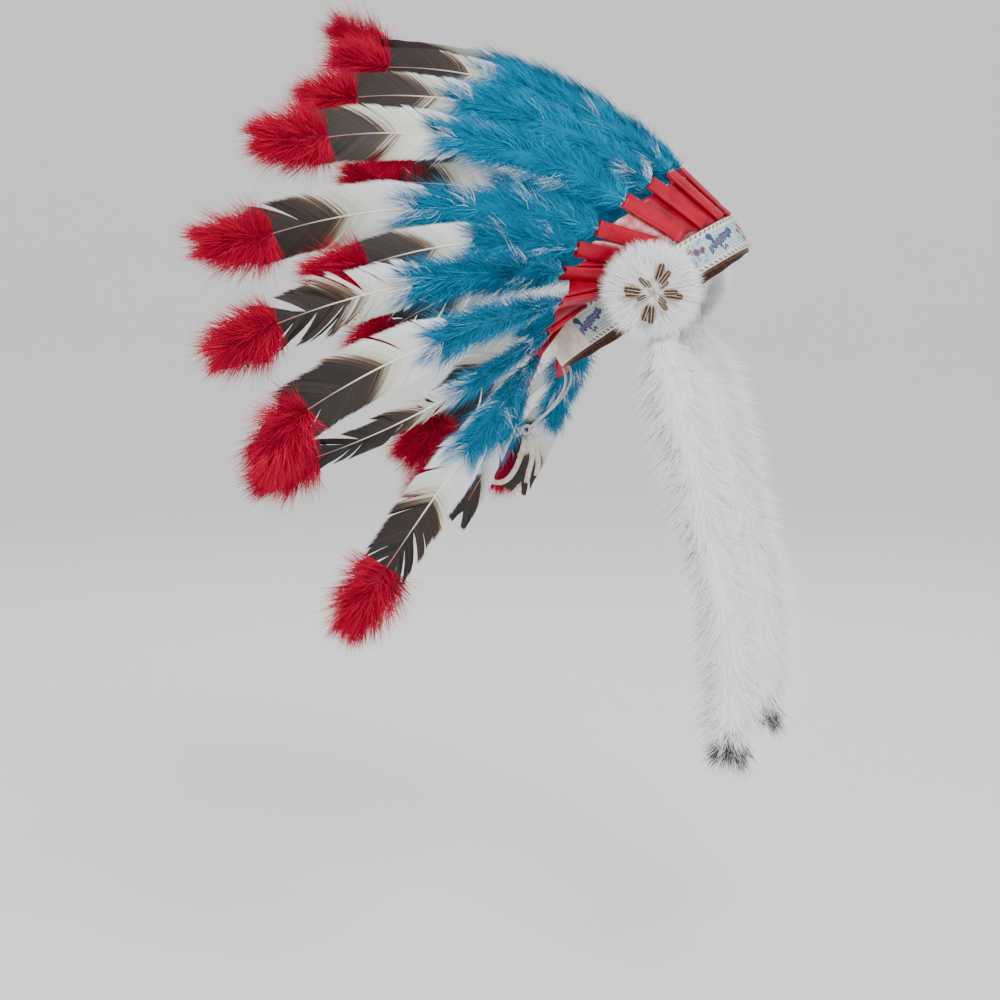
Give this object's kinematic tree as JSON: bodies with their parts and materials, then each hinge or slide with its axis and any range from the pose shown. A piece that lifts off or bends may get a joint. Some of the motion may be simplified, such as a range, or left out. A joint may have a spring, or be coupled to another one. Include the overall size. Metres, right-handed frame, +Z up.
{
  "type": "feathered headdress",
  "caption": "War-bonnet style costume headdress: a band with a fan of dyed feathers in wrapped quills, fur rosettes and long fur drops at the temples, tied with a lace at the nape.",
  "frame": {"origin": "middle of the head opening at half the height of the band, where the band sits on the wearer's head", "axes": "+X towards the wearer's front, +Y towards the wearer's left, +Z up; worn form, with the band tilted up at the brow"},
  "size_m": [0.5507, 0.6254, 0.7421],
  "materials": {
    "feather": "dyed feather: turquoise plume, white vane with brown and black end, red marabou tuft",
    "vinyl": "glossy folded red vinyl",
    "suede": "dark brown suede",
    "cotton": "off-white woven cotton",
    "braid": "woven trim with a coloured pattern on pale aqua",
    "fur": "long white fur",
    "hackle": "small brown and cream striped feathers",
    "lace": "flat pale lace"
  },
  "bodies": {
    "root": {"feather_01": "feather", "feather_02": "feather", "feather_03": "feather", "feather_04": "feather", "feather_05": "feather", "feather_06": "feather", "feather_07": "feather", "feather_08": "feather", "feather_09": "feather", "feather_10": "feather", "feather_11": "feather", "feather_12": "feather", "feather_13": "feather", "feather_14": "feather", "feather_15": "feather", "feather_16": "feather", "feather_17": "feather", "feather_18": "feather", "feather_19": "feather", "feather_20": "feather", "feather_21": "feather", "wrap_01": "vinyl", "wrap_02": "vinyl", "wrap_03": "vinyl", "wrap_04": "vinyl", "wrap_05": "vinyl", "wrap_06": "vinyl", "wrap_07": "vinyl", "wrap_08": "vinyl", "wrap_09": "vinyl", "wrap_10": "vinyl", "wrap_11": "vinyl", "wrap_12": "vinyl", "wrap_13": "vinyl", "wrap_14": "vinyl", "wrap_15": "vinyl", "wrap_16": "vinyl", "wrap_17": "vinyl", "wrap_18": "vinyl", "wrap_19": "vinyl", "wrap_20": "vinyl", "wrap_21": "vinyl", "sweatband": "suede", "base_band": "cotton", "patterned_trim": "braid", "pleated_panel": "vinyl", "rosette_left": "fur", "rosette_feathers_left": "hackle", "fur_drop_left": "fur", "rosette_right": "fur", "rosette_feathers_right": "hackle", "fur_drop_right": "fur", "lace_left": "lace", "lace_right": "lace", "lace_bow": "lace", "lace_tail_front": "lace", "lace_tail_rear": "lace", "lace_knot": "lace"}
  },
  "joints": []
}
